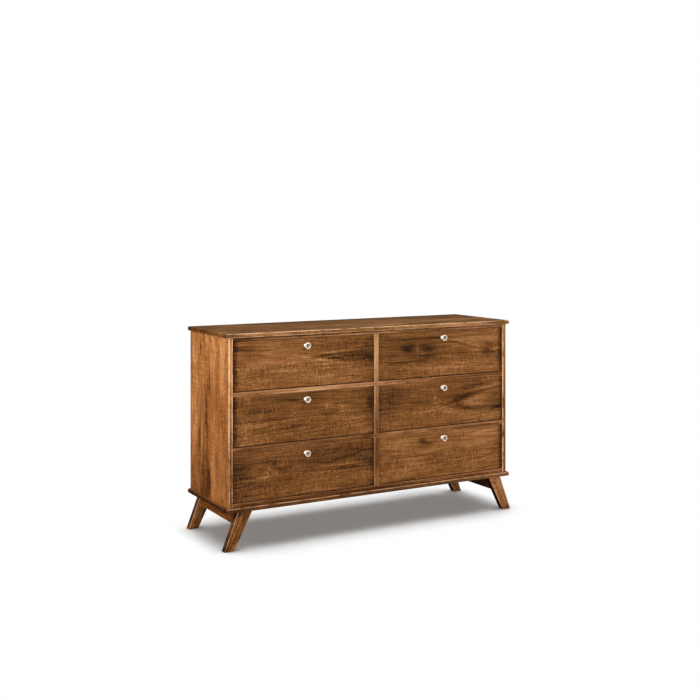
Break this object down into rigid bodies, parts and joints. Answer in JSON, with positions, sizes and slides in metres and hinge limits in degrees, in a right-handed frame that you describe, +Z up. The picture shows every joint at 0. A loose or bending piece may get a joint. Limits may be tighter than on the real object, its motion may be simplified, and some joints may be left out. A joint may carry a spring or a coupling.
{
  "type": "dresser",
  "caption": "Wide wooden dresser with inset slab drawers in side-by-side banks, round metal knobs, an overhanging top and splayed tapered legs.",
  "frame": {"origin": "on the floor, at the middle of the outline of the whole piece, feet and knobs included", "axes": "+X to the right of someone who faces the drawers, -Y out of the drawer fronts, +Z up"},
  "size_m": [1.598, 0.4846, 0.975],
  "materials": {
    "top_wood": "satin",
    "case_wood": "satin",
    "drawer_front_wood": "satin",
    "leg_wood": "satin",
    "drawer_box_wood": "satin",
    "panel_wood": "matte",
    "knob_metal": "polished",
    "slide_steel": "zinc plated"
  },
  "bodies": {
    "case": {"top_panel": "top_wood", "base_panel": "case_wood", "centre_partition": "case_wood", "back_panel": "panel_wood", "rear_rail": "case_wood", "bottom_rail": "case_wood", "lower_rail": "case_wood", "upper_rail": "case_wood", "top_rail": "case_wood", "left_side_panel": "case_wood", "left_leg_rail": "leg_wood", "front_left_leg": "leg_wood", "back_left_leg": "leg_wood", "right_side_panel": "case_wood", "right_leg_rail": "leg_wood", "front_right_leg": "leg_wood", "back_right_leg": "leg_wood", "cabinet_slides": "slide_steel"},
    "lower_left_drawer": {"lower_left_drawer_front": "drawer_front_wood", "lower_left_drawer_sides": "drawer_box_wood", "lower_left_drawer_ends": "drawer_box_wood", "lower_left_drawer_bottom": "panel_wood", "lower_left_drawer_knob": "knob_metal", "lower_left_drawer_slides": "slide_steel"},
    "middle_left_drawer": {"middle_left_drawer_front": "drawer_front_wood", "middle_left_drawer_sides": "drawer_box_wood", "middle_left_drawer_ends": "drawer_box_wood", "middle_left_drawer_bottom": "panel_wood", "middle_left_drawer_knob": "knob_metal", "middle_left_drawer_slides": "slide_steel"},
    "upper_left_drawer": {"upper_left_drawer_front": "drawer_front_wood", "upper_left_drawer_sides": "drawer_box_wood", "upper_left_drawer_ends": "drawer_box_wood", "upper_left_drawer_bottom": "panel_wood", "upper_left_drawer_knob": "knob_metal", "upper_left_drawer_slides": "slide_steel"},
    "lower_right_drawer": {"lower_right_drawer_front": "drawer_front_wood", "lower_right_drawer_sides": "drawer_box_wood", "lower_right_drawer_ends": "drawer_box_wood", "lower_right_drawer_bottom": "panel_wood", "lower_right_drawer_knob": "knob_metal", "lower_right_drawer_slides": "slide_steel"},
    "middle_right_drawer": {"middle_right_drawer_front": "drawer_front_wood", "middle_right_drawer_sides": "drawer_box_wood", "middle_right_drawer_ends": "drawer_box_wood", "middle_right_drawer_bottom": "panel_wood", "middle_right_drawer_knob": "knob_metal", "middle_right_drawer_slides": "slide_steel"},
    "upper_right_drawer": {"upper_right_drawer_front": "drawer_front_wood", "upper_right_drawer_sides": "drawer_box_wood", "upper_right_drawer_ends": "drawer_box_wood", "upper_right_drawer_bottom": "panel_wood", "upper_right_drawer_knob": "knob_metal", "upper_right_drawer_slides": "slide_steel"},
    "lower_left_drawer_middle_slides": {"lower_left_drawer_middle_slides": "slide_steel"},
    "middle_left_drawer_middle_slides": {"middle_left_drawer_middle_slides": "slide_steel"},
    "upper_left_drawer_middle_slides": {"upper_left_drawer_middle_slides": "slide_steel"},
    "lower_right_drawer_middle_slides": {"lower_right_drawer_middle_slides": "slide_steel"},
    "middle_right_drawer_middle_slides": {"middle_right_drawer_middle_slides": "slide_steel"},
    "upper_right_drawer_middle_slides": {"upper_right_drawer_middle_slides": "slide_steel"}
  },
  "joints": [
    {"name": "lower_left_drawer_run", "type": "slide", "parent": "case", "child": "lower_left_drawer", "axis": [0, -1, 0], "range_m": [0, 0.4]},
    {"name": "lower_left_drawer_middle_slides_run", "type": "slide", "parent": "case", "child": "lower_left_drawer_middle_slides", "axis": [0, -1, 0], "range_m": [0, 0.2]},
    {"name": "middle_left_drawer_run", "type": "slide", "parent": "case", "child": "middle_left_drawer", "axis": [0, -1, 0], "range_m": [0, 0.4]},
    {"name": "middle_left_drawer_middle_slides_run", "type": "slide", "parent": "case", "child": "middle_left_drawer_middle_slides", "axis": [0, -1, 0], "range_m": [0, 0.2]},
    {"name": "upper_left_drawer_run", "type": "slide", "parent": "case", "child": "upper_left_drawer", "axis": [0, -1, 0], "range_m": [0, 0.4]},
    {"name": "upper_left_drawer_middle_slides_run", "type": "slide", "parent": "case", "child": "upper_left_drawer_middle_slides", "axis": [0, -1, 0], "range_m": [0, 0.2]},
    {"name": "lower_right_drawer_run", "type": "slide", "parent": "case", "child": "lower_right_drawer", "axis": [0, -1, 0], "range_m": [0, 0.4]},
    {"name": "lower_right_drawer_middle_slides_run", "type": "slide", "parent": "case", "child": "lower_right_drawer_middle_slides", "axis": [0, -1, 0], "range_m": [0, 0.2]},
    {"name": "middle_right_drawer_run", "type": "slide", "parent": "case", "child": "middle_right_drawer", "axis": [0, -1, 0], "range_m": [0, 0.4]},
    {"name": "middle_right_drawer_middle_slides_run", "type": "slide", "parent": "case", "child": "middle_right_drawer_middle_slides", "axis": [0, -1, 0], "range_m": [0, 0.2]},
    {"name": "upper_right_drawer_run", "type": "slide", "parent": "case", "child": "upper_right_drawer", "axis": [0, -1, 0], "range_m": [0, 0.4]},
    {"name": "upper_right_drawer_middle_slides_run", "type": "slide", "parent": "case", "child": "upper_right_drawer_middle_slides", "axis": [0, -1, 0], "range_m": [0, 0.2]}
  ],
  "couplings": [
    {"joint": "lower_left_drawer_middle_slides_run", "follows": "lower_left_drawer_run", "ratio": 0.5},
    {"joint": "middle_left_drawer_middle_slides_run", "follows": "middle_left_drawer_run", "ratio": 0.5},
    {"joint": "upper_left_drawer_middle_slides_run", "follows": "upper_left_drawer_run", "ratio": 0.5},
    {"joint": "lower_right_drawer_middle_slides_run", "follows": "lower_right_drawer_run", "ratio": 0.5},
    {"joint": "middle_right_drawer_middle_slides_run", "follows": "middle_right_drawer_run", "ratio": 0.5},
    {"joint": "upper_right_drawer_middle_slides_run", "follows": "upper_right_drawer_run", "ratio": 0.5}
  ]
}
